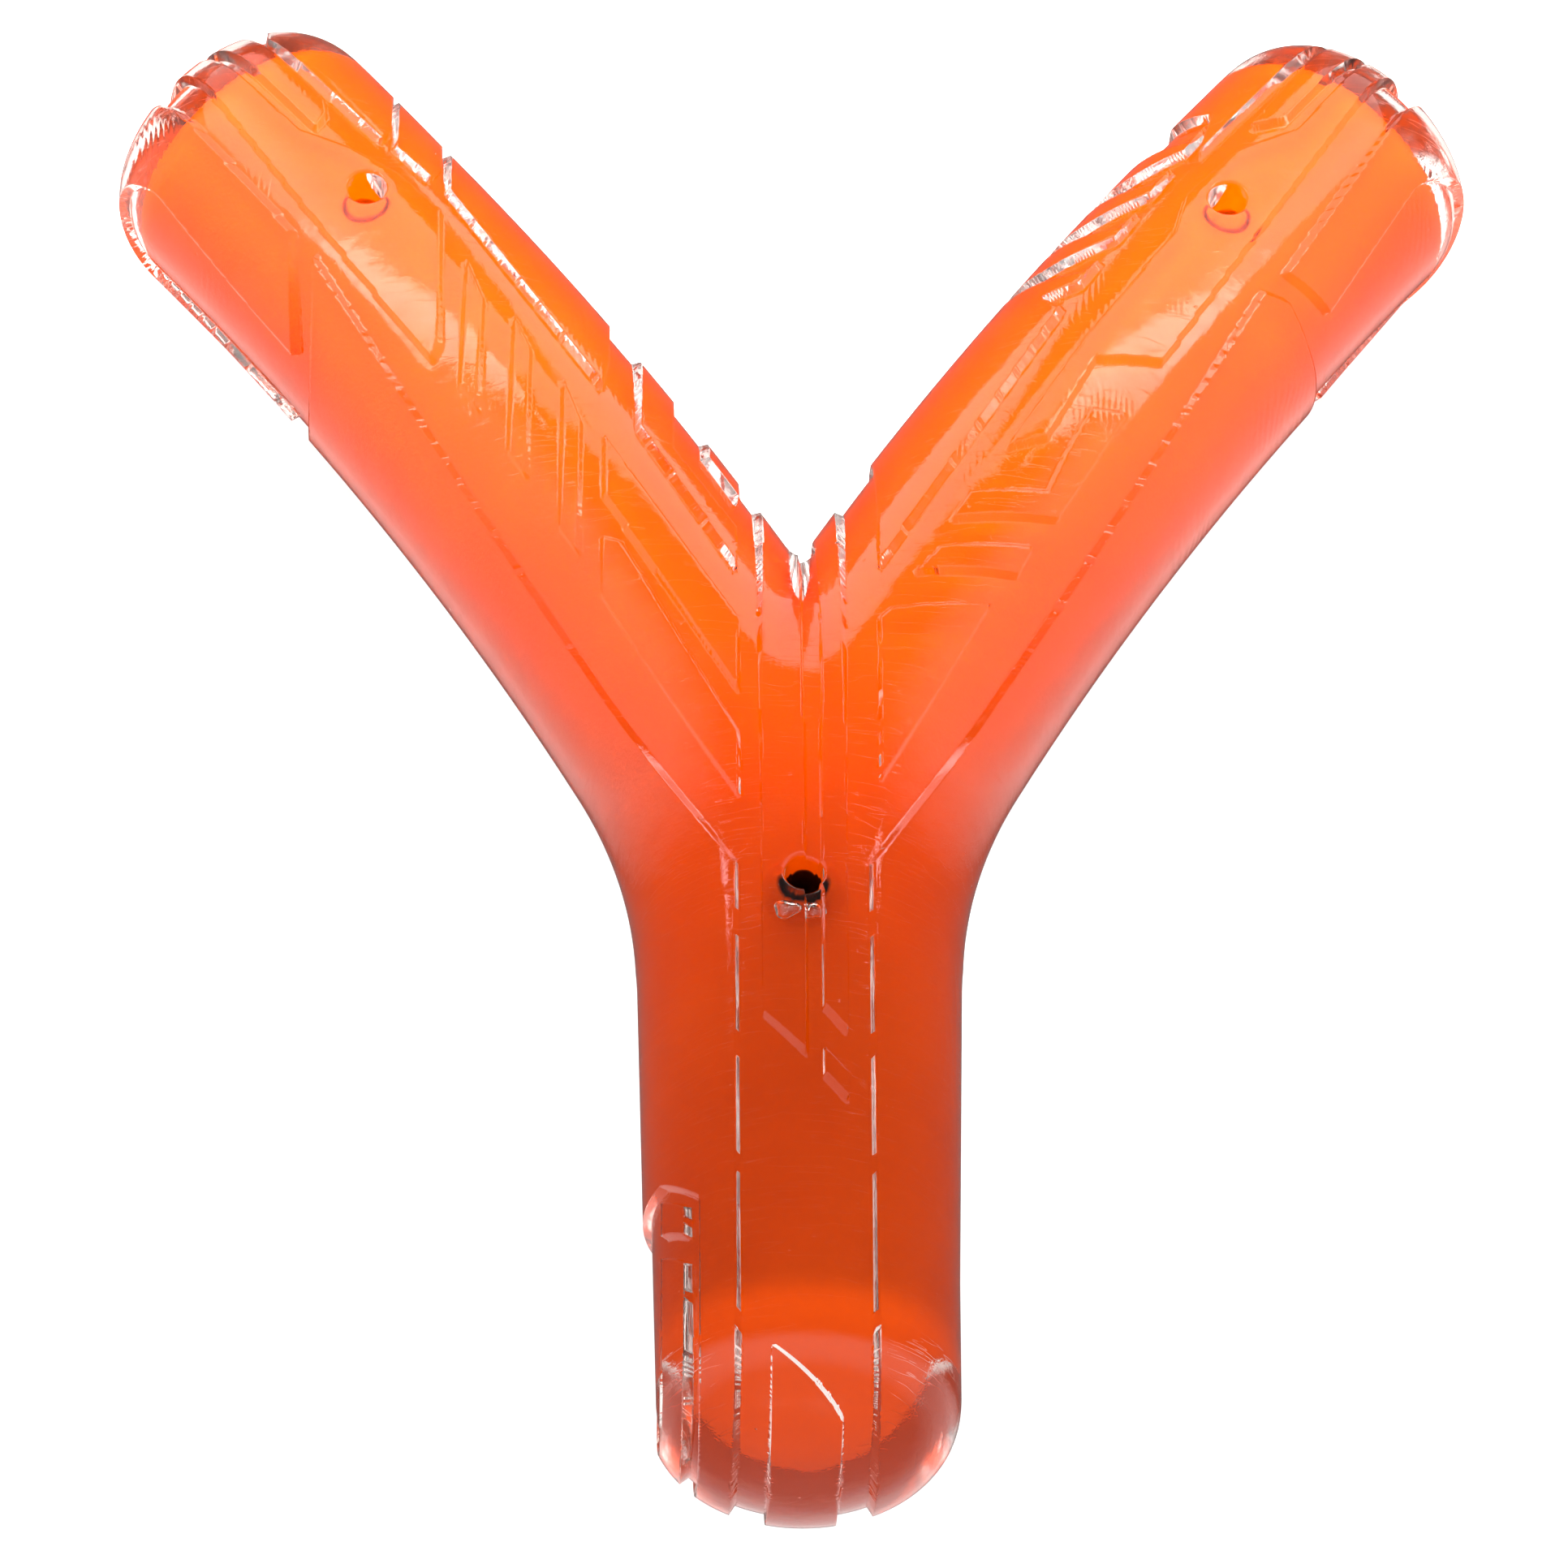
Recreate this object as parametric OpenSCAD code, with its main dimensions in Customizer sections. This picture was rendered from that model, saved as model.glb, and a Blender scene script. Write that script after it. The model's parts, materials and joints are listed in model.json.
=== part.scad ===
// Three-arm throwing boomerang: a moulded foam core inside a clear rubber skin.
// Millimetres. It lies flat: X across, Y along the stem towards the fork, Z is thickness.
// The origin is the middle of the junction bore, on the mid-plane.

/* [Arms] */
// Radius of every arm, without the tread
arm_r = 22.4; // [16:0.1:32]
// Distance from the junction bore to the end of the stem
stem_len = 92; // [60:1:140]
// Distance from the junction bore to where the arms begin to bend, down the stem
bend_y = 6.5; // [0:0.5:20]
// Radius of the first bend of each upper arm
bend1_r = 106; // [60:1:200]
// Angle of the first bend
bend1_a = 28.9; // [15:0.1:45]
// Radius of the long shallow bend that follows
bend2_r = 605; // [200:5:1200]
// Angle of the long shallow bend
bend2_a = 11.8; // [5:0.1:20]
// Height of each domed end
dome_h = 15; // [8:0.5:22]
// How square the domed ends are: 1 is an ellipse, and less is squarer
dome_square = 0.7; // [0.5:0.05:1]

/* [Tread] */
// Height of the raised tread panels
tread_h = 1.6; // [0.6:0.1:3]
// Half the width of the smooth band between the two side panels
band_x = 10.3; // [6:0.1:15]
// Where the side panels turn from the stem to the arms
band_y = 3.4; // [0:0.1:12]

/* [Core] */
// Radius of the foam core
core_r = 16; // [10:0.1:20]
// Clear rubber between the end of the core and the end of the stem
stem_wall = 22; // [4:0.5:30]
// Clear rubber between the end of the core and the end of each upper arm
arm_wall = 7.5; // [4:0.5:20]
// Height of the domed ends of the core
core_dome = 7; // [3:0.5:14]

/* [Bores] */
// Radius of the three through-bores
bore_r = 3; // [1.5:0.1:5]
// Wall of the clear tube that lines each bore
tube_w = 0.8; // [0.6:0.1:4]
// Distance of the upper bores from the middle line
bore_x = 67; // [50:0.5:85]
// Distance of the upper bores from the junction bore, along the stem line
bore_y = 127.5; // [100:0.5:150]

/* [Hidden] */
$fn = 96;
// centre of the first bend, and the point and heading where it ends
x1 = bend1_r * (1 - cos(bend1_a));
y1 = -bend_y + bend1_r * sin(bend1_a);
// centre of the second bend
cx2 = x1 + bend2_r * cos(bend1_a);
cy2 = y1 - bend2_r * sin(bend1_a);
// end of the second bend, where the dome begins
tip_a = bend1_a + bend2_a;
x2 = cx2 - bend2_r * cos(tip_a);
y2 = cy2 + bend2_r * sin(tip_a);
// stretches of arm stop this far short of each other, inside a collar
gap = 0.3;
// half the length of a collar, and how much it stands proud
lap = 1;
fit = 0.15;
// the core's domes begin this far short of where the skin's domes begin
stem_cut = stem_wall + core_dome - dome_h;
arm_cut = arm_wall + core_dome - dome_h;
// span that is longer than the whole part
far = 400;

// A domed end, growing along +Z from the origin. Its short skirt laps the arm behind it.
module dome(r, h) {
  rotate_extrude()
    polygon([
      [0, -lap],
      [r + fit, -lap],
      for (t = [0:8:80]) [(r + fit) * pow(cos(t), dome_square), h * pow(sin(t), dome_square)],
      [0, h]
    ]);
}

// A thin collar that joins two stretches of arm at a point, heading a degrees from the stem line.
module collar(r, x, y, a) {
  translate([x, y, 0])
    rotate([-90, 0, -a])
      cylinder(r = r + fit, h = 2 * lap, center = true);
}

// First bend of the right arm, kept to its own side of the middle line.
module bend1(r) {
  intersection() {
    translate([bend1_r, -bend_y, 0])
      rotate([0, 0, 180 - bend1_a + gap / bend1_r * 57.3])
        rotate_extrude(angle = bend1_a - 2 * gap / bend1_r * 57.3)
          translate([bend1_r, 0])
            circle(r = r);
    translate([0, -far / 2, -far / 2])
      cube([far, far, far]);
  }
}

// Long shallow bend of the right arm, ending at angle a, and its domed end.
module bend2(r, h, a) {
  translate([cx2, cy2, 0])
    rotate([0, 0, 180 - a + gap / bend2_r * 57.3])
      rotate_extrude(angle = a - bend1_a - 2 * gap / bend2_r * 57.3)
        translate([bend2_r, 0])
          circle(r = r);
  translate([cx2 - bend2_r * cos(a), cy2 + bend2_r * sin(a), 0])
    rotate([-90, 0, -a])
      dome(r, h);
}

// One arm without the stem. r is the radius, h the dome height, cut how far the end is pulled back.
module arm(r, h, cut) {
  bend1(r);
  collar(r, x1, y1, bend1_a);
  bend2(r, h, tip_a - cut / bend2_r * 57.3);
}

// The whole Y. The cuts are how far the ends are pulled back, at the stem and at the upper arms.
module whole_y(r, h, stem_back, arm_back) {
  arm(r, h, arm_back);
  mirror([1, 0, 0])
    arm(r, h, arm_back);
  collar(r, 0, -bend_y, 0);
  translate([0, -bend_y - gap, 0])
    rotate([90, 0, 0])
      cylinder(r = r, h = stem_len - dome_h - stem_back - bend_y - 2 * gap);
  translate([0, -(stem_len - dome_h - stem_back), 0])
    rotate([90, 0, 0])
      dome(r, h);
}

// The three bore axes as cylinders.
module bores(r) {
  for (p = [[0, 0], [bore_x, bore_y], [-bore_x, bore_y]])
    translate([p[0], p[1], -far / 2])
      cylinder(r = r, h = far);
}

// Side panels: from the stem end up the outer side of each arm. Each wraps round to the back.
module side_panels_2d() {
  // left: it ends square to the stem line on the arm and steps in near the stem end
  polygon([
    [-band_x, -99], [-band_x, band_y], [-75.3, 117.3], [-75.3, 60], [-40, -20],
    [-40, -47.5], [-20.9, -47.5], [-15.6, -53.5], [-15.6, -99]
  ]);
  // right: its arm end is cut across the arm
  polygon([
    [band_x, -99], [band_x, band_y], [72.3, 112.6], [76.4, 112.6], [79.5, 109],
    [90, 100], [60, 20], [40, -40], [40, -99]
  ]);
}

// Ribs of the stem and the strips that run from the fork past the junction bore.
module stem_2d() {
  polygon([[-20.9, -99], [-20.9, -59.5], [-17.5, -63.5], [-17.5, -99]]);
  polygon([[-20.9, -50], [-17.5, -53.8], [-17.5, -59], [-20.9, -56]]);
  polygon([[-5.3, -99], [-5.3, -81.5], [5.3, -90], [5.3, -99]]);
  polygon([[-6.3, 88], [-6.3, -24.5], [0.1, -31.8], [0.1, 88]]);
  polygon([[2.8, 88], [2.8, -23.5], [6.4, -27.7], [6.4, 88]]);
  polygon([[2.8, -30.5], [6.4, -34.5], [6.4, -39.5], [2.8, -35.5]]);
}

// Tread of the left arm: long rails and a row of upright bars.
module left_2d() {
  // outer end panel and the long centre panel that holds the bore
  polygon([[-77.8, 105.4], [-78.6, 121.8], [-106, 157], [-118, 152], [-99.6, 134.6]]);
  polygon([
    [-56.7, 95.8], [-55.4, 98.5], [-55.4, 124], [-62.3, 131], [-70, 135.5],
    [-77.5, 138.5], [-99, 162.5], [-103, 163]
  ]);
  // end rib, and the blocks along the inner side
  polygon([
    [-75.2, 138.8], [-73.4, 142], [-73.8, 144.6], [-83.6, 156], [-94, 168],
    [-101, 168.5], [-87.9, 153.4]
  ]);
  polygon([[-83, 157.5], [-64.9, 138], [-63.4, 141], [-63.4, 172], [-83, 172]]);
  polygon([[-62.8, 136.8], [-57.3, 131.3], [-55.6, 134.5], [-55.6, 156], [-62.8, 163]]);
  polygon([[-54.5, 129.4], [-30.3, 91], [-29.3, 98], [-29.3, 118], [-54.5, 150]]);
  // upright bars
  polygon([[-52.4, 91], [-49.4, 86.2], [-48.7, 106.2], [-51.5, 114.5]]);
  polygon([[-44.9, 78.5], [-41.9, 73.8], [-41.4, 97], [-44.1, 103.8]]);
  polygon([[-37, 64.6], [-34, 60], [-33.6, 83.2], [-36.5, 92]]);
  // slanted bars beside the band
  polygon([[-30.2, 69.4], [-9.8, 33.3], [-9.8, 47.1], [-30.2, 81]]);
  polygon([[-30.5, 52.4], [-9.8, 14.8], [-9.8, 26], [-27.6, 61], [-30.5, 62.3]]);
  polygon([
    [-24.8, 83.7], [-9.8, 57], [-9.8, 66], [-19.4, 80.5], [-19.4, 101], [-24.8, 109]
  ]);
  polygon([[-14.4, 82.5], [-9.4, 74], [-9.4, 88], [-14.4, 95]]);
}

// Tread of the right arm: stepped panel, level bars and chevrons.
module right_2d() {
  // outer end panel, end rib and inner end block
  polygon([[75.9, 116.3], [83, 114.3], [97, 136], [118, 152], [106, 163], [94.8, 146.8]]);
  polygon([[70.9, 142.3], [76.5, 143], [84, 152.3], [95, 166], [90, 170], [80.6, 155.3]]);
  polygon([
    [62.8, 137.5], [69.9, 146.2], [75.8, 152.9], [86, 165], [80, 176], [60, 160],
    [60, 150], [65.5, 147]
  ]);
  // centre panel that holds the bore, with its stepped lower end
  polygon([
    [31.5, 79], [38, 81.2], [45.8, 96.2], [56.2, 97], [70.3, 119.5], [88.5, 147.5],
    [101, 166], [97, 168], [85.1, 150], [78.3, 141.2], [69, 137.5], [60.5, 128.5],
    [58.5, 121], [44, 100]
  ]);
  // stepped bar, level bars and the wedge
  polygon([
    [23, 65.6], [39.4, 67.5], [50.6, 87.5], [45, 87.5], [41, 79.3], [37.9, 72], [26, 71]
  ]);
  polygon([[17.2, 55.6], [33.2, 57], [35.7, 62.4], [21.5, 60.6]]);
  polygon([[11.9, 18.2], [28.9, 51.4], [13.6, 48.9], [11.9, 47.2]]);
  // long panel beside the fork
  polygon([[11.9, 57.2], [41, 107.5], [32, 118], [22, 116], [11.9, 95]]);
  // chevrons on the inner side
  for (i = [0:3])
    translate([5.7 * i, 9 * i])
      polygon([[33, 109.5], [44, 112.2], [47.6, 117.6], [44.4, 114.8], [28, 116.5], [24, 110]]);
}

// The raised tread, cut from a slightly larger Y, on the front and the back alike.
module tread() {
  intersection() {
    whole_y(arm_r + tread_h, dome_h + tread_h, 0, 0);
    linear_extrude(height = 120, center = true) {
      side_panels_2d();
      stem_2d();
      left_2d();
      right_2d();
    }
  }
}

// The space that the foam fills, with a clear tube left standing round each bore.
module core_solid() {
  difference() {
    whole_y(core_r, core_dome, stem_cut, arm_cut);
    bores(bore_r + tube_w);
  }
}

// Clear rubber skin: arms, tread and bore tubes in one moulding round the core.
module shell() {
  color([0.95, 0.88, 0.82, 0.35])
    difference() {
      union() {
        whole_y(arm_r, dome_h, 0, 0);
        tread();
      }
      core_solid();
      bores(bore_r);
    }
}

// Orange foam core: one moulded Y with a hole at each bore.
module foam_core() {
  color([0.96, 0.33, 0.03])
    core_solid();
}

shell();
foam_core();
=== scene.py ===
"""Throwing boomerang: a clear rubber skin with raised tread, moulded over an orange foam core.

The shape functions work in millimetres in the part's own frame: X across, Y along the stem
towards the fork, Z is thickness, and the origin is the middle of the junction bore.
"""

import json
import math

import bpy
import numpy as np
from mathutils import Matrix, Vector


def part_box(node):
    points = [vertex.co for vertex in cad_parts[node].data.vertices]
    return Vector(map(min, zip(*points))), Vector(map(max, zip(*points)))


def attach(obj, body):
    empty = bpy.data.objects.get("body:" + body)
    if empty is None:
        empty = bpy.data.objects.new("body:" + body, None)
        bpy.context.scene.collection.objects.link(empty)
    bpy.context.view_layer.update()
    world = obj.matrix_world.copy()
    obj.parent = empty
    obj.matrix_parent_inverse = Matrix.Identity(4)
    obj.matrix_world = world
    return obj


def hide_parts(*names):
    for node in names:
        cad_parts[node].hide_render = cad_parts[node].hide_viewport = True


MM = 0.001

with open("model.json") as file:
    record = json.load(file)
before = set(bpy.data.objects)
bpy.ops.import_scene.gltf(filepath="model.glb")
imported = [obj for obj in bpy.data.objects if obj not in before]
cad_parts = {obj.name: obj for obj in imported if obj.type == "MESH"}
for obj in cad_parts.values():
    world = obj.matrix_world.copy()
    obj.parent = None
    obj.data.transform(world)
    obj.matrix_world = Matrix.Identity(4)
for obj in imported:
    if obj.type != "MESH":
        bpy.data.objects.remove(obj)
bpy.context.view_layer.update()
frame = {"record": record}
shell_low, shell_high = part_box("shell")
core_low, core_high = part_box("foam_core")

# Skin: the arms are slightly thicker at the junction than at their ends, and the tread is
# lower along the arms than at the ends, where it grows over END_ZONE.
TREAD = 1.6
BODY_TREAD = 1.3
END_ZONE = 34.0
MEAN_R = shell_high.z / MM - TREAD
JUNCTION_R = 1.04 * MEAN_R
END_R = 0.96 * MEAN_R
DOME = 0.68 * END_R
DOME_SQUARE = 0.8
STEM = -shell_low.y / MM - TREAD
LIP = 0.6
BORE_R = 3.0

# The arms blend into each other by up to BLEND, growing over BLEND_RUN from BLEND_Y.
BLEND = 5.0
BLEND_Y = 8.0
BLEND_RUN = 40.0

# Centre line of the right arm: the stem, a first bend and a long shallow one up to the end.
BEND_Y = -6.3
BEND1_R = 106.0
BEND1_A = math.radians(28.9)
BEND2_R = 605.0
BEND2_A = math.radians(13.2)
STRAIGHT = STEM + BEND_Y
LENGTH = STRAIGHT + BEND1_R * BEND1_A + BEND2_R * BEND2_A

# Core: clear rubber stands beyond it at all three ends, deepest at the stem. A low boss lifts
# the foam round the junction bore.
CORE_R = core_high.z / MM
CORE_DOME = 7.0
CORE_SQUARE = 0.6
STEM_WALL = (core_low.y - shell_low.y) / MM - TREAD
ARM_WALL = 7.5
CORE_HOLE_R = 3.3
CORE_LIP = 0.4
BOSS_R = 6.2
BOSS_H = 4.0

# Size of the mesh's squares. The wall round each tread panel is one square wide.
STEP = 0.36
WELD = 2000
HASH_PRIME = 1_000_003
BORES = [
    [value / MM for value in mount["pos_m"][:2]]
    for mount in frame["record"]["mounts"]
]

# Tread outlines seen from above: rails, ribs, bars and panels that stand above the arms.
SIDE_PANELS = [
    [(-10.3, -99), (-10.3, 3.4), (-75.3, 117.3), (-75.3, 102.5), (-75.3, 60), (-40, -20),
     (-40, -47.5), (-20.9, -47.5), (-15.6, -53.5), (-15.6, -99)],
    [(10.3, -99), (10.3, 3.4), (72.3, 112.6), (76.4, 112.6), (79.5, 109), (90, 100),
     (60, 20), (40, -40), (40, -99)],
]
STEM_RIBS = [
    [(-20.9, -99), (-20.9, -59.5), (-17.5, -63.5), (-17.5, -99)],
    [(-20.9, -50), (-17.5, -53.8), (-17.5, -59), (-20.9, -56)],
    [(-5.3, -99), (-5.3, -81.5), (5.3, -90), (5.3, -99)],
    [(-6.3, 88), (-6.3, -24.5), (0.1, -31.8), (0.1, 88)],
    [(2.8, 88), (2.8, -23.5), (6.4, -27.7), (6.4, 88)],
    [(2.8, -30.5), (6.4, -34.5), (6.4, -39.5), (2.8, -35.5)],
]
LEFT_TREAD = [
    # outer end panel and the long centre panel that holds the bore
    [(-77.8, 105.4), (-78.6, 121.8), (-106, 157), (-118, 152), (-99.6, 134.6)],
    [(-56.7, 95.8), (-55.4, 98.5), (-55.4, 124), (-62.3, 131), (-70, 135.5), (-77.5, 138.5),
     (-99, 162.5), (-103, 163)],
    # end rib, and the blocks along the inner side
    [(-75.2, 138.8), (-73.4, 142), (-73.8, 144.6), (-83.6, 156), (-94, 168), (-101, 168.5),
     (-87.9, 153.4)],
    [(-83, 157.5), (-64.9, 138), (-63.4, 141), (-63.4, 172), (-83, 172)],
    [(-62.8, 136.8), (-57.3, 131.3), (-55.6, 134.5), (-55.6, 156), (-62.8, 163)],
    [(-54.5, 129.4), (-30.3, 91), (-29.3, 98), (-29.3, 118), (-54.5, 150)],
    # upright bars
    [(-52.4, 91), (-49.4, 86.2), (-48.7, 106.2), (-51.5, 114.5)],
    [(-44.9, 78.5), (-41.9, 73.8), (-41.4, 97), (-44.1, 103.8)],
    [(-37, 64.6), (-34, 60), (-33.6, 83.2), (-36.5, 92)],
    # slanted bars beside the band
    [(-30.2, 69.4), (-9.8, 33.3), (-9.8, 47.1), (-30.2, 81)],
    [(-30.5, 52.4), (-9.8, 14.8), (-9.8, 26), (-27.6, 61), (-30.5, 62.3)],
    [(-24.8, 83.7), (-9.8, 57), (-9.8, 66), (-19.4, 80.5), (-19.4, 101), (-24.8, 109)],
    [(-14.4, 82.5), (-9.4, 74), (-9.4, 88), (-14.4, 95)],
]
CHEVRON = [(33, 109.5), (44, 112.2), (47.6, 117.6), (44.4, 114.8), (28, 116.5), (24, 110)]
RIGHT_TREAD = [
    # outer end panel, end rib and inner end block
    [(75.9, 116.3), (83, 114.3), (97, 136), (118, 152), (106, 163), (94.8, 146.8)],
    [(70.9, 142.3), (76.5, 143), (84, 152.3), (95, 166), (90, 170), (80.6, 155.3)],
    [(62.8, 137.5), (69.9, 146.2), (75.8, 152.9), (86, 165), (80, 176), (60, 160), (60, 150),
     (65.5, 147)],
    # centre panel that holds the bore, with its stepped lower end
    [(31.5, 79), (38, 81.2), (45.8, 96.2), (56.2, 97), (70.3, 119.5), (88.5, 147.5),
     (101, 166), (97, 168), (85.1, 150), (78.3, 141.2), (69, 137.5), (60.5, 128.5),
     (58.5, 121), (44, 100)],
    # stepped bar, level bars and the wedge
    [(23, 65.6), (39.4, 67.5), (50.6, 87.5), (45, 87.5), (41, 79.3), (37.9, 72), (26, 71)],
    [(17.2, 55.6), (33.2, 57), (35.7, 62.4), (21.5, 60.6)],
    [(11.9, 18.2), (28.9, 51.4), (13.6, 48.9), (11.9, 47.2)],
    # long panel beside the fork
    [(11.9, 57.2), (41, 107.5), (32, 118), (22, 116), (11.9, 95)],
    # chevrons on the inner side
    *[[(x + 5.7 * i, y + 9 * i) for x, y in CHEVRON] for i in range(4)],
]
OUTLINES = SIDE_PANELS + STEM_RIBS + LEFT_TREAD + RIGHT_TREAD


# ---------------------------------------------------------------- shape of the Y

def spine(s):
    """The right arm's centre line at distances s from the stem end: x, y and heading."""
    turn = np.clip((s - STRAIGHT) / BEND1_R, 0, BEND1_A)
    heading = turn + np.clip((s - STRAIGHT - BEND1_R * BEND1_A) / BEND2_R, 0, None)
    x = BEND1_R * (1 - np.cos(turn)) + BEND2_R * (np.cos(turn) - np.cos(heading))
    y = BEND1_R * np.sin(turn) + BEND2_R * (np.sin(heading) - np.sin(turn))
    return x, y + np.minimum(s, STRAIGHT) - STEM, heading


def nearest_station(x, y, first, last):
    """The distance along the centre line, from first to last, that is nearest to each point."""
    bend1 = np.arctan2(y - BEND_Y, BEND1_R - x)
    centre_x = BEND1_R + (BEND2_R - BEND1_R) * math.cos(BEND1_A)
    centre_y = BEND_Y - (BEND2_R - BEND1_R) * math.sin(BEND1_A)
    bend2 = np.arctan2(y - centre_y, centre_x - x)
    start2 = STRAIGHT + BEND1_R * BEND1_A
    stretches = [
        np.clip(y + STEM, first, STRAIGHT),
        STRAIGHT + BEND1_R * np.clip(bend1, 0, BEND1_A),
        np.clip(start2 + BEND2_R * (bend2 - BEND1_A), start2, last),
    ]
    best = stretches[0]
    best_gap = np.full(x.shape, np.inf)
    for s in stretches:
        px, py, _ = spine(s)
        gap = np.hypot(x - px, y - py)
        best = np.where(gap < best_gap, s, best)
        best_gap = np.minimum(gap, best_gap)
    return best


class YForm:
    """A Y of round arms with domed ends, blended where the arms meet."""

    def __init__(self, end_r, junction_r, dome, square, stem_short, arm_short):
        self.end_r = end_r
        self.junction_r = junction_r
        self.dome = dome
        self.square = square
        self.first = stem_short + dome
        self.last = LENGTH - arm_short - dome

    def radius(self, s):
        taper = np.where(s < STEM, s / STEM, (LENGTH - s) / (LENGTH - STEM))
        return self.end_r + (self.junction_r - self.end_r) * np.clip(taper, 0, 1)

    def tread_height(self, points):
        """Tread is lower along the arms and grows to its full height at the ends."""
        x, y = np.abs(points[:, 0]), points[:, 1]
        s = nearest_station(x, y, self.first, self.last)
        inset = np.minimum(s, LENGTH - s)
        share = np.clip((END_ZONE - inset) / (END_ZONE - self.dome), 0, 1)
        return BODY_TREAD + (TREAD - BODY_TREAD) * share

    def arm_field(self, x, y, z):
        """Distance to the right arm's surface, negative inside."""
        s = nearest_station(x, y, self.first, self.last)
        px, py, heading = spine(s)
        radius = self.radius(s)
        along = (x - px) * np.sin(heading) + (y - py) * np.cos(heading)
        across = (x - px) * np.cos(heading) - (y - py) * np.sin(heading)
        power = 2 / self.square
        round_part = (across**2 + z**2) ** (power / 2)
        dome_part = np.abs(along * radius / self.dome) ** power
        return (round_part + dome_part) ** (1 / power) - radius

    def field(self, points):
        x, y, z = points.T
        right = self.arm_field(x, y, z)
        left = self.arm_field(-x, y, z)
        reach = BLEND * np.clip((y - BLEND_Y) / BLEND_RUN, 0.001, 1)
        share = np.clip(0.5 + 0.5 * (left - right) / reach, 0, 1)
        return left + (right - left) * share - reach * share * (1 - share)

    def normals(self, points):
        """The way out at each point, and how steeply the field rises there."""
        step = 0.02
        slope = np.empty_like(points)
        for axis in range(3):
            offset = np.zeros(3)
            offset[axis] = step
            slope[:, axis] = self.field(points + offset) - self.field(points - offset)
        slope /= 2 * step
        size = np.linalg.norm(slope, axis=1)
        return slope / size[:, None], size

    def settle(self, points):
        """Moves points that are near the surface onto it."""
        for _ in range(3):
            way, steep = self.normals(points)
            points = points - way * (self.field(points) / steep)[:, None]
        return points


def row_stations(form, step):
    """Stations of the rings of a Y, with the ring size as a share of the arm's radius."""
    turns = np.linspace(0, math.pi / 2, int(1.3 * form.end_r / step))
    body = np.arange(form.first, form.last, step)[1:]
    x, _, heading = spine(body)
    share = x / (form.radius(body) * np.cos(heading))
    # the arms part where share reaches 1: rings crowd just below that, for an even middle line
    parting = np.interp(1, share, body)
    angles = np.arange(0, 0.5, step / form.end_r)
    crowd = np.interp(np.cos(angles), share, body)
    body = np.concatenate([body[body < crowd[-1]], crowd[::-1], body[body > parting + step / 2]])
    station = np.concatenate(
        [np.full(len(turns), form.first), body, np.full(len(turns), form.last)]
    )
    rise = np.cos(turns) ** form.square
    ring = np.sin(turns) ** form.square
    ahead = np.concatenate([-rise, np.zeros(len(body)), ring]) * form.dome
    size = np.concatenate([ring, np.ones(len(body)), rise])
    return station, ahead, size


def quarter_grid(form, step):
    """Grid of points over the front of the right arm and the right half of the stem."""
    station, ahead, size = row_stations(form, step)
    x, y, heading = spine(station)
    x = x + ahead * np.sin(heading)
    y = y + ahead * np.cos(heading)
    ring = np.maximum(form.radius(station) * size, 1e-9)
    start = np.arccos(np.clip(x / (ring * np.cos(heading)), 0, 1))
    start[start < 0.5 * step / form.end_r] = 0
    parting = np.flatnonzero(start == 0)[0]
    columns = np.linspace(0, 1, int(math.pi * form.end_r / step))
    angle = start[:, None] + (math.pi - start[:, None]) * columns
    inward = ring[:, None] * np.cos(angle)
    points = np.stack([
        x[:, None] - inward * np.cos(heading)[:, None],
        y[:, None] + inward * np.sin(heading)[:, None],
        ring[:, None] * np.sin(angle),
    ], axis=-1)
    points[:, -1, 2] = 0
    points[: parting + 1, 0, 0] = 0
    points[parting:, 0, 2] = 0
    return points


def y_surface(form, step):
    """Points and quads of the whole closed Y, from four mirrored copies of the quarter."""
    grid = quarter_grid(form, step)
    rows, columns = grid.shape[:2]
    place = np.arange(rows * columns).reshape(rows, columns)
    quads = np.stack(
        [place[:-1, :-1], place[1:, :-1], place[1:, 1:], place[:-1, 1:]], axis=-1
    ).reshape(-1, 4)
    points = []
    faces = []
    for side in (1, -1):
        for face in (1, -1):
            points.append(grid.reshape(-1, 3) * (side, 1, face))
            turned = quads[:, ::-1] if side * face > 0 else quads
            faces.append(turned + len(faces) * rows * columns)
    points = np.concatenate(points)
    faces = np.concatenate(faces)
    # weld the copies where they meet, to the nearest 1 / WELD of a millimetre
    keys = np.round(points * WELD).astype(np.int64)
    packed = (keys[:, 0] * HASH_PRIME + keys[:, 1]) * HASH_PRIME + keys[:, 2]
    _, first, same = np.unique(packed, return_index=True, return_inverse=True)
    return points[first], same.ravel()[faces]


# ---------------------------------------------------------------- tread and bores

def outline_depth(xy, outline):
    """How far inside an outline each point lies, negative outside, and the way in."""
    nearest = np.full(len(xy), np.inf)
    away = np.zeros_like(xy)
    inside = np.zeros(len(xy), bool)
    corners = np.array(outline, float)
    for a, b in zip(corners, np.roll(corners, -1, axis=0)):
        edge = b - a
        share = np.clip(((xy - a) @ edge) / (edge @ edge), 0, 1)
        offset = xy - a - share[:, None] * edge
        distance = np.hypot(offset[:, 0], offset[:, 1])
        nearer = distance < nearest
        nearest[nearer] = distance[nearer]
        away[nearer] = offset[nearer]
        if a[1] != b[1]:
            level = (a[1] > xy[:, 1]) != (b[1] > xy[:, 1])
            crossing = a[0] + (xy[:, 1] - a[1]) / edge[1] * edge[0]
            inside ^= level & (xy[:, 0] < crossing)
    sign = np.where(inside, 1.0, -1.0)
    return sign * nearest, away * (sign / np.maximum(nearest, 1e-9))[:, None]


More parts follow.
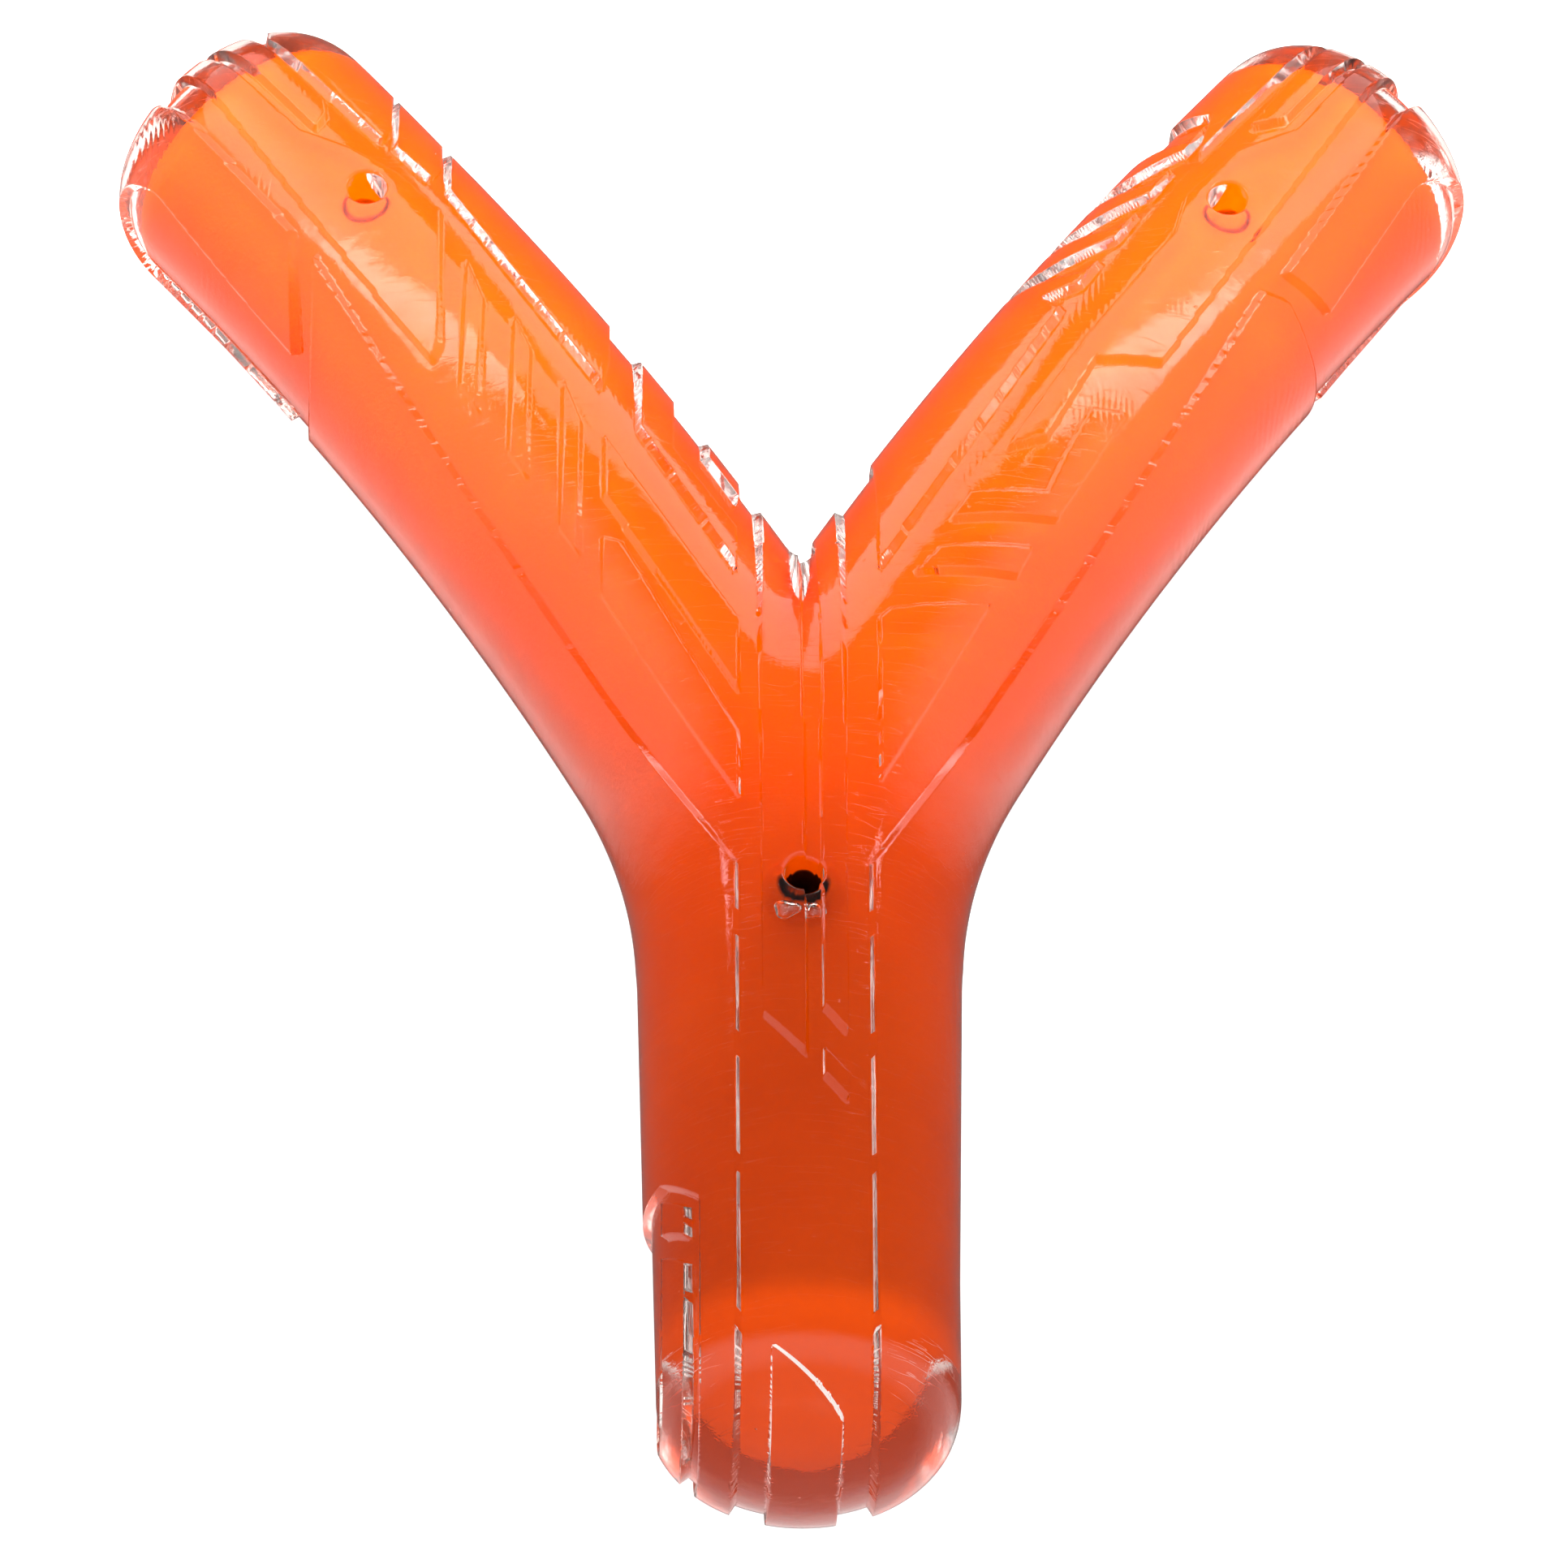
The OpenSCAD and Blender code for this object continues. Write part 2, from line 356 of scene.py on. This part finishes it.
def raise_tread(form, points):
    """Lifts the points that lie inside the tread outlines, with a short steep wall round each."""
    normals, _ = form.normals(points)
    height = form.tread_height(points)
    middle = points + normals * height[:, None] / 2
    margin = 3
    depth = np.full(len(points), -3.0 * margin)
    way = np.zeros_like(points)
    way[:, 0] = 1
    for outline in OUTLINES:
        low = np.min(outline, axis=0) - margin
        high = np.max(outline, axis=0) + margin
        near = np.flatnonzero(np.all((middle[:, :2] > low) & (middle[:, :2] < high), axis=1))
        inside, inward = outline_depth(middle[near, :2], outline)
        deeper = inside > depth[near]
        depth[near[deeper]] = inside[deeper]
        way[near[deeper], :2] = inward[deeper]
    lean = (way * normals).sum(axis=1)
    level = np.sqrt(np.maximum(1 - lean**2, 0.02))
    along = (way - lean[:, None] * normals) / level[:, None]
    depth = depth / level
    # the wall runs from the nearest points outside the outline to the nearest points inside
    edge = np.where(depth < 0, -STEP / 2, STEP / 2)
    shift = np.where(np.abs(depth) < STEP, edge - depth, 0)
    points = points + along * shift[:, None]
    lift = np.where(depth < 0, 0, height)
    return points + normals * lift[:, None]


def boundary_loop(quads, kept):
    """The edge vertices of the hole that is left when only the kept quads stay, in order."""
    removed = quads[~kept]
    edges = np.concatenate([removed[:, [i, (i + 1) % 4]] for i in range(4)])
    known = {tuple(edge) for edge in edges.tolist()}
    following = {a: b for a, b in known if (b, a) not in known}
    loop = [min(following)]
    while following[loop[-1]] != loop[0]:
        loop.append(following[loop[-1]])
    return np.array(loop)


def open_bore(points, quads, centre, bore_r, lip):
    """Cuts a through-hole along Z: removes the quads inside it and adds its lips and wall."""
    offset = points[:, :2] - centre
    inside = np.hypot(offset[:, 0], offset[:, 1]) < bore_r + lip
    touches = inside[quads].any(axis=1)
    loops = {}
    for face in (1, -1):
        cut = touches & (points[quads[:, 0], 2] * face > 0)
        loops[face] = boundary_loop(quads, ~cut)
    turn = np.arctan2(*(points[loops[1], :2] - centre).T[::-1])
    order = np.unwrap(turn)
    even = order[0] + (order[-1] - order[0]) * np.arange(len(order)) / (len(order) - 1)
    angle = (order + even) / 2
    partner = {tuple(np.round(points[i, :2], 3)): i for i in loops[-1]}
    front = loops[1]
    back = np.array([partner[tuple(np.round(points[i, :2], 3))] for i in front])
    height = points[front, 2]
    rim = np.stack([np.cos(angle), np.sin(angle)], axis=1)
    profile = [
        (lip * (1 - math.sin(a)), lip * (1 - math.cos(a)))
        for a in (0.4, 0.8, 1.2, math.pi / 2)
    ]
    rings = [front]
    levels = [(bore_r + out, height - down) for out, down in profile]
    levels += [(bore_r, (height - lip) * share) for share in np.linspace(0.8, -0.8, 9)]
    levels += [(bore_r + out, down - height) for out, down in profile[::-1]]
    for radius, z in levels:
        rings.append(len(points) + np.arange(len(front)))
        points = np.concatenate([points, np.column_stack([centre + radius * rim, z])])
    rings.append(back)
    points[front, :2] = centre + (bore_r + lip) * rim
    points[back, :2] = points[front, :2]
    wall = [
        np.stack([a, np.roll(a, -1), np.roll(b, -1), b], axis=1)
        for a, b in zip(rings, rings[1:])
    ]
    return points, np.concatenate([quads[~touches], *wall])


def blob(centre, size, seed):
    """A small lumpy closed bubble with its faces turned inwards, as points and quads."""
    rows, columns = 12, 20
    up = np.linspace(0, math.pi, rows)[:, None]
    round_ = np.linspace(0, 2 * math.pi, columns, endpoint=False)[None, :]
    lump = 1 + 0.16 * np.sin(3 * round_ + seed) * np.sin(up) + 0.1 * np.sin(2 * up + 5 * seed)
    points = np.stack([
        lump * np.sin(up) * np.cos(round_),
        lump * np.sin(up) * np.sin(round_),
        np.cos(up) * np.ones_like(round_),
    ], axis=-1).reshape(-1, 3)
    place = np.arange(rows * columns).reshape(rows, columns)
    place[0] = place[0, 0]
    place[-1] = place[-1, 0]
    beside = np.roll(place, -1, axis=1)
    quads = np.stack([place[:-1], beside[:-1], beside[1:], place[1:]], axis=-1)
    return points * size + centre, quads.reshape(-1, 4)


def make_object(name, points, quads):
    """A smooth-shaded mesh object from points in millimetres, without collapsed faces."""
    used, quads = np.unique(quads, return_inverse=True)
    quads = quads.reshape(-1, 4)
    distinct = quads != np.roll(quads, -1, axis=1)
    sizes = distinct.sum(axis=1)
    corners = quads[distinct & (sizes >= 3)[:, None]]
    sizes = sizes[sizes >= 3]
    mesh = bpy.data.meshes.new(name)
    mesh.vertices.add(len(used))
    mesh.vertices.foreach_set("co", (points[used] * MM).astype(np.float32).ravel())
    mesh.loops.add(len(corners))
    mesh.loops.foreach_set("vertex_index", corners)
    mesh.polygons.add(len(sizes))
    mesh.polygons.foreach_set("loop_start", np.cumsum(sizes) - sizes)
    mesh.update(calc_edges=True)
    mesh.validate()
    mesh.shade_smooth()
    obj = bpy.data.objects.new(name, mesh)
    bpy.context.scene.collection.objects.link(obj)
    return obj


# ---------------------------------------------------------------- materials

def new_material(name):
    material = bpy.data.materials.new(name)
    material.use_nodes = True
    nodes = material.node_tree.nodes
    return material, nodes, material.node_tree.links, nodes["Principled BSDF"]


def add_noise(nodes, links, scale, detail, stretch=(1, 1, 1), rough=0.5):
    """Noise in the object's own metres, with scale in bumps per metre."""
    place = nodes.new("ShaderNodeTexCoord")
    mapping = nodes.new("ShaderNodeMapping")
    mapping.inputs["Scale"].default_value = stretch
    noise = nodes.new("ShaderNodeTexNoise")
    noise.inputs["Scale"].default_value = scale
    noise.inputs["Detail"].default_value = detail
    noise.inputs["Roughness"].default_value = rough
    links.new(place.outputs["Object"], mapping.inputs["Vector"])
    links.new(mapping.outputs["Vector"], noise.inputs["Vector"])
    return noise.outputs["Fac"]


def add_ramp(nodes, links, source, stops):
    """A colour ramp over source, from (place, colour) stops."""
    ramp = nodes.new("ShaderNodeValToRGB")
    while len(ramp.color_ramp.elements) < len(stops):
        ramp.color_ramp.elements.new(0.5)
    for element, (place, colour) in zip(ramp.color_ramp.elements, stops):
        element.position = place
        element.color = (*colour, 1)
    links.new(source, ramp.inputs["Fac"])
    return ramp.outputs["Color"]


def add_bump(nodes, links, height, strength, distance, before=None):
    bump = nodes.new("ShaderNodeBump")
    bump.inputs["Strength"].default_value = strength
    bump.inputs["Distance"].default_value = distance * MM
    links.new(height, bump.inputs["Height"])
    if before is not None:
        links.new(before, bump.inputs["Normal"])
    return bump.outputs["Normal"]


def grey(value):
    return (value, value, value)


def add_ripples(nodes, links, scale):
    """Fine bent ridges, like the grain of a fingerprint, in scattered patches only."""
    place = nodes.new("ShaderNodeTexCoord")
    wave = nodes.new("ShaderNodeTexWave")
    wave.inputs["Scale"].default_value = scale
    wave.inputs["Distortion"].default_value = 9.0
    wave.inputs["Detail"].default_value = 1.0
    wave.inputs["Detail Scale"].default_value = 0.3
    links.new(place.outputs["Object"], wave.inputs["Vector"])
    cover = add_noise(nodes, links, 55, 1)
    patches = add_ramp(nodes, links, cover, [(0.57, grey(0)), (0.67, grey(1))])
    blend = nodes.new("ShaderNodeMath")
    blend.operation = "MULTIPLY"
    links.new(wave.outputs["Fac"], blend.inputs[0])
    links.new(patches, blend.inputs[1])
    return blend.outputs["Value"]


def add_specks(nodes, links, scale, size):
    """Small round pits, one in each cell of a random pattern with scale cells per metre."""
    place = nodes.new("ShaderNodeTexCoord")
    cells = nodes.new("ShaderNodeTexVoronoi")
    cells.inputs["Scale"].default_value = scale
    links.new(place.outputs["Object"], cells.inputs["Vector"])
    return add_ramp(nodes, links, cells.outputs["Distance"], [(size / 2, grey(0)), (size, grey(1))])


def rubber_material():
    """Glossy clear rubber: soft waves, fine grain, patches of ripples, pits and scratches."""
    material, nodes, links, shader = new_material("clear_rubber")
    shader.inputs["Base Color"].default_value = (1.0, 0.95, 0.90, 1)
    shader.inputs["IOR"].default_value = 1.48
    shader.inputs["Transmission Weight"].default_value = 1.0
    smudge = add_noise(nodes, links, 90, 4)
    rough = add_ramp(nodes, links, smudge, [(0.35, grey(0.02)), (0.72, grey(0.10))])
    links.new(rough, shader.inputs["Roughness"])
    normal = None
    # soft waves, grain and fine haze: scale, detail, strength and depth in millimetres
    for scale, detail, strength, depth in [
        (120, 2, 0.2, 0.5),
        (900, 3, 0.12, 0.1),
        (2600, 2, 0.25, 0.03),
    ]:
        waves = add_noise(nodes, links, scale, detail)
        normal = add_bump(nodes, links, waves, strength, depth, normal)
    normal = add_bump(nodes, links, add_ripples(nodes, links, 330), 0.2, 0.06, normal)
    normal = add_bump(nodes, links, add_specks(nodes, links, 160, 0.05), 0.5, 0.1, normal)
    drawn = add_noise(nodes, links, 60, 2, stretch=(1, 9, 1))
    scratches = add_ramp(nodes, links, drawn, [(0.495, grey(1)), (0.5, grey(0)), (0.505, grey(1))])
    normal = add_bump(nodes, links, scratches, 0.2, 0.03, normal)
    links.new(normal, shader.inputs["Normal"])
    return material


def add_bore_distance(nodes, links):
    """0 on the wall of the junction bore's hole, rising to 1 a little way outside it: the mask for
    the painted shade in that hole.
    """
    place = nodes.new("ShaderNodeTexCoord")
    flat = nodes.new("ShaderNodeVectorMath")
    flat.operation = "MULTIPLY"
    flat.inputs[1].default_value = (1, 1, 0)
    length = nodes.new("ShaderNodeVectorMath")
    length.operation = "LENGTH"
    spread = nodes.new("ShaderNodeMapRange")
    spread.inputs["From Min"].default_value = (CORE_HOLE_R + 0.1) * MM
    spread.inputs["From Max"].default_value = (CORE_HOLE_R + 0.6) * MM
    links.new(place.outputs["Object"], flat.inputs[0])
    links.new(flat.outputs["Vector"], length.inputs[0])
    links.new(length.outputs["Value"], spread.inputs["Value"])
    return spread.outputs["Result"]


def foam_material():
    """Dense orange foam: soft changes of tone, faint darker streaks, fine pores, and painted shade
    on the wall of the junction bore's hole.
    """
    material, nodes, links, shader = new_material("orange_foam")
    tone = add_noise(nodes, links, 25, 3)
    colour = add_ramp(nodes, links, tone, [
        (0.3, (0.60, 0.050, 0.0)),
        (0.5, (0.64, 0.057, 0.0)),
        (0.75, (0.68, 0.066, 0.0)),
    ])
    # painted shade: the foam round the junction bore's hole is coloured near black to stand in for
    # the shade inside the hole
    bore_painted_shade = nodes.new("ShaderNodeMix")
    bore_painted_shade.data_type = "RGBA"
    bore_painted_shade.inputs["A"].default_value = (0.05, 0.006, 0.001, 1)
    links.new(add_bore_distance(nodes, links), bore_painted_shade.inputs["Factor"])
    links.new(colour, bore_painted_shade.inputs["B"])
    links.new(bore_painted_shade.outputs["Result"], shader.inputs["Base Color"])
    shader.inputs["Roughness"].default_value = 1.0
    # the foam is bonded to rubber of nearly its own index, so it has no gloss of its own
    shader.inputs["Specular IOR Level"].default_value = 0.0
    pores = add_bump(nodes, links, add_noise(nodes, links, 1500, 2), 0.3, 0.15)
    links.new(pores, shader.inputs["Normal"])
    return material


def floor_material():
    material, nodes, links, shader = new_material("pale_floor")
    tone = add_noise(nodes, links, 3, 2)
    colour = add_ramp(nodes, links, tone, [(0.3, grey(0.34)), (0.7, grey(0.36))])
    links.new(colour, shader.inputs["Base Color"])
    # it glows a little, like a light table, so the part throws hardly any shadow
    shader.inputs["Emission Color"].default_value = (1, 1, 1, 1)
    shader.inputs["Emission Strength"].default_value = 0.75
    shader.inputs["Roughness"].default_value = 0.9
    return material


# ---------------------------------------------------------------- pieces

def make_skin():
    """The clear skin: the Y with its tread, its lined bores and two trapped bubbles."""
    form = YForm(END_R, JUNCTION_R, DOME, DOME_SQUARE, 0, 0)
    points, quads = y_surface(form, STEP)
    points = raise_tread(form, form.settle(points))
    for centre in BORES:
        points, quads = open_bore(points, quads, centre, BORE_R, LIP)
    for centre, size, seed in [
        ((-2.4, -5.0, 20.0), (1.8, 1.5, 1.1), 1.0),
        ((1.6, -5.1, 20.0), (1.5, 1.5, 1.1), 2.6),
    ]:
        bubble, sides = blob(centre, size, seed)
        quads = np.concatenate([quads, sides + len(points)])
        points = np.concatenate([points, bubble])
    return make_object("clear_skin", points, quads)


def make_core():
    """The foam core, with a hole round each bore's lining."""
    form = YForm(CORE_R, CORE_R, CORE_DOME, CORE_SQUARE, STEM_WALL, ARM_WALL)
    points, quads = y_surface(form, 2 * STEP)
    points = form.settle(points)
    # a low boss lifts the foam close to the surface round the junction bore
    inset = BOSS_R - np.hypot(points[:, 0], points[:, 1])
    share = np.clip(inset / (BOSS_R - CORE_HOLE_R - CORE_LIP), 0, 1)
    points[:, 2] += np.sign(points[:, 2]) * BOSS_H * share**2 * (3 - 2 * share)
    for centre in BORES:
        points, quads = open_bore(points, quads, centre, CORE_HOLE_R, CORE_LIP)
    return make_object("foam_core_visual", points, quads)


def make_floor():
    """A large pale floor at the height of the lowest tread."""
    half = 3.0
    corners = [(-half, -half), (half, -half), (half, half), (-half, half)]
    mesh = bpy.data.meshes.new("floor")
    mesh.from_pydata([(x, y, FLOOR_Z) for x, y in corners], [], [(0, 1, 2, 3)])
    floor = bpy.data.objects.new("floor", mesh)
    bpy.context.scene.collection.objects.link(floor)
    return floor


FLOOR_Z = -(JUNCTION_R + TREAD) * MM

skin = make_skin()
skin.data.materials.append(rubber_material())
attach(skin, "root")
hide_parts("shell")

core = make_core()
core.data.materials.append(foam_material())
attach(core, "root")
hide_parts("foam_core")

floor = make_floor()
floor.data.materials.append(floor_material())
floor.visible_glossy = False


# ---------------------------------------------------------------- light and camera

def add_panel(name, place, aim, size, power):
    """A rectangular area light at place that faces the point aim."""
    lamp = bpy.data.lights.new(name, "AREA")
    lamp.shape = "RECTANGLE"
    lamp.size, lamp.size_y = size
    lamp.energy = power
    obj = bpy.data.objects.new(name, lamp)
    obj.location = place
    direction = obj.location - type(obj.location)(aim)
    obj.rotation_euler = direction.to_track_quat("Z", "Y").to_euler()
    bpy.context.scene.collection.objects.link(obj)
    return obj


def add_level_panel(name, side, place, size, turn, power):
    """A panel that faces straight down, on one side of the middle line, turned outwards."""
    x, y, z = place
    lamp = add_panel(name, (side * x, y, z), (side * x, y, 0), size, power)
    lamp.rotation_euler = (0, 0, -side * turn)
    return lamp


def set_world():
    """Soft studio surround: brightest at the sides and dim beyond the fork."""
    world = bpy.data.worlds.new("studio")
    bpy.context.scene.world = world
    world.use_nodes = True
    nodes = world.node_tree.nodes
    links = world.node_tree.links
    place = nodes.new("ShaderNodeTexCoord")
    split = nodes.new("ShaderNodeSeparateXYZ")
    links.new(place.outputs["Generated"], split.inputs["Vector"])
    spread = nodes.new("ShaderNodeMapRange")
    spread.inputs["From Min"].default_value = -1
    spread.inputs["From Max"].default_value = 1
    links.new(split.outputs["Y"], spread.inputs["Value"])
    tone = add_ramp(nodes, links, spread.outputs["Result"], [
        (0.25, grey(0.4)),
        (0.42, grey(1.0)),
        (0.62, grey(1.0)),
        (0.72, grey(0.13)),
    ])
    links.new(tone, nodes["Background"].inputs["Color"])
    nodes["Background"].inputs["Strength"].default_value = 1.3


def hide_glare(lamp):
    """Keeps a lamp's light and takes away its mirror image on the skin."""
    lamp.visible_glossy = False
    lamp.visible_camera = False


FORK_TURN = math.radians(17.6)
ARM_TURN = math.radians(33)

set_world()
for side in (-1, 1):
    # soft panels beyond the fork, with a bright strip along the near edge of each
    add_level_panel("fork_panel", side, (0.176, 0.425, 0.150), (0.205, 0.560), FORK_TURN, 0.8)
    add_level_panel("fork_strip", side, (0.125, 0.147, 0.148), (0.130, 0.022), FORK_TURN, 0.05)
    # focused lamps over the arms and low ones beyond their ends
    above_arm = (0.084, 0.140, 0.170)
    arm_lamp = add_level_panel("arm_lamp", side, above_arm, (0.120, 0.200), ARM_TURN, 0.65)
    arm_lamp.data.spread = math.radians(60)
    hide_glare(arm_lamp)
    tip_lamp = (side * 0.200, 0.300, 0.040)
    hide_glare(add_panel("tip_lamp", tip_lamp, (side * 0.09, 0.155, 0), (0.12, 0.08), 0.45))
hide_glare(add_panel("stem_lamp", (0, -0.30, 0.05), (0, -0.09, 0), (0.2, 0.08), 0.4))
hide_glare(add_panel("fill_panel", (-0.2, -1.3, 1.0), (0, 0, 0), (1.6, 1.2), 10))
hide_glare(add_panel("back_panel", (0, 1.0, 0.36), (0, 0, 0.1), (1.8, 0.7), 16))

camera = bpy.data.objects.new("camera", bpy.data.cameras.new("camera"))
camera.location = (-0.0640, -1.1290, 1.7340)
camera.rotation_euler = (0.590, -0.031, -0.007)
camera.data.sensor_width = 36
camera.data.lens = 313.0
bpy.context.scene.collection.objects.link(camera)
bpy.context.scene.camera = camera
bpy.context.scene.view_settings.view_transform = "Standard"
